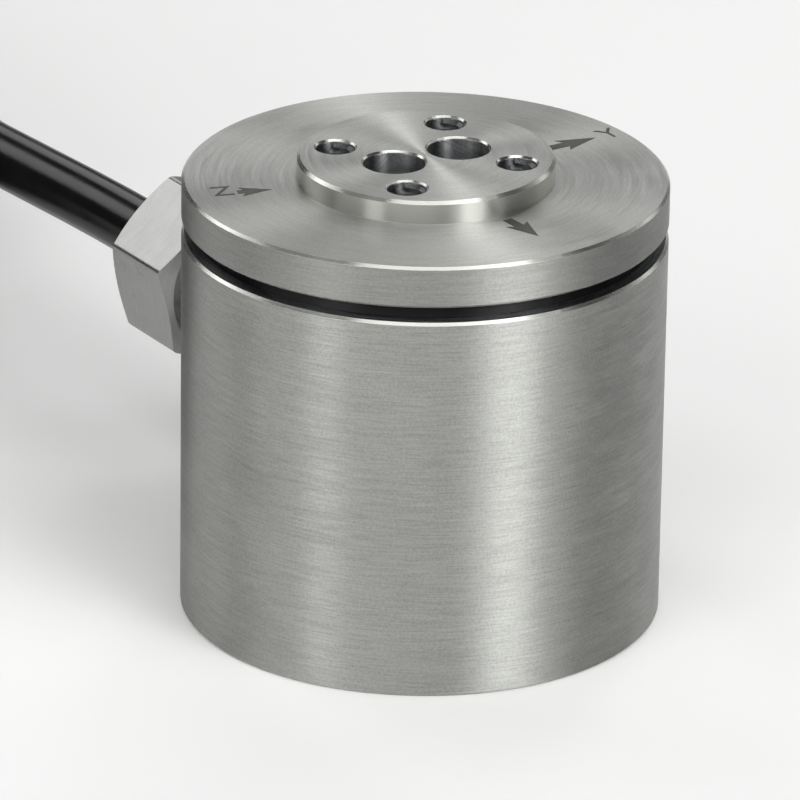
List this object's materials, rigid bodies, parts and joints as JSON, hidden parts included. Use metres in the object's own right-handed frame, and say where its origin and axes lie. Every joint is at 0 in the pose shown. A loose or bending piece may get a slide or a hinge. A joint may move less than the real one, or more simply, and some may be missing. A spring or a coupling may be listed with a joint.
{
  "type": "three-axis force sensor",
  "caption": "Cylindrical stainless three-axis force sensor with a floating top plate, raised boss, side cable gland and a free black cable ending in bare leads.",
  "frame": {"origin": "centre of the base face", "axes": "+Z out of the load plate, +X and +Y along the two sideways measuring directions; the cable gland points along -X"},
  "size_m": [0.2369, 0.0787, 0.0494],
  "materials": {
    "body_steel": "fine brushed stainless steel",
    "plate_steel": "fine turned stainless steel",
    "element_steel": "milled stainless steel",
    "screw_steel": "bright stainless screws",
    "dowel_steel": "ground steel",
    "gland_metal": "matte nickel-plated",
    "seal_rubber": "matte black silicone",
    "bush_rubber": "black rubber",
    "claw_plastic": "natural polyamide",
    "washer_rubber": "black flat seal",
    "gauge_foil": "amber film with foil",
    "tab_film": "glass-cloth terminal strip",
    "wire_enamel": "enamelled copper",
    "board_laminate": "green laminate",
    "spacer_brass": "turned brass",
    "pin_gold": "gold-plated",
    "chip_body": "black resistor body",
    "tag_tin": "tinned tag",
    "screen_tin": "tinned wire",
    "tip_tin": "tinned copper",
    "cable_jacket": "black satin jacket",
    "tie_black": "black strap",
    "sleeve_black": "black shrink sleeve",
    "core_red": "red core insulation",
    "core_black": "black core insulation",
    "core_green": "green core insulation",
    "core_white": "white core insulation",
    "core_yellow": "yellow core insulation",
    "core_blue": "blue core insulation",
    "core_brown": "brown core insulation",
    "core_orange": "orange core insulation"
  },
  "bodies": {
    "root": {"housing": "body_steel", "load_plate": "plate_steel", "gap_seal": "seal_rubber", "spring_element": "element_steel", "gauges_x": "gauge_foil", "gauges_y": "gauge_foil", "gauges_z": "gauge_foil", "terminal_tabs": "tab_film", "gauge_wires": "wire_enamel", "element_screws": "screw_steel", "plate_screws": "screw_steel", "dowels": "dowel_steel", "circuit_board": "board_laminate", "board_spacers": "spacer_brass", "board_screws": "screw_steel", "cable_pins": "pin_gold", "gauge_pins": "pin_gold", "trim_resistors": "chip_body", "earth_tag": "tag_tin", "screen_wire": "screen_tin", "gland_washer": "washer_rubber", "gland_body": "gland_metal", "gland_bush": "bush_rubber", "gland_claw": "claw_plastic", "gland_nut": "gland_metal", "cable": "cable_jacket", "cable_hank": "cable_jacket", "hank_ties": "tie_black", "end_sleeve": "sleeve_black", "tinned_tips": "tip_tin", "core_red": "core_red", "lead_red": "core_red", "core_black": "core_black", "lead_black": "core_black", "core_green": "core_green", "lead_green": "core_green", "core_white": "core_white", "lead_white": "core_white", "core_yellow": "core_yellow", "lead_yellow": "core_yellow", "core_blue": "core_blue", "lead_blue": "core_blue", "core_brown": "core_brown", "lead_brown": "core_brown", "core_orange": "core_orange", "lead_orange": "core_orange"}
  },
  "joints": []
}
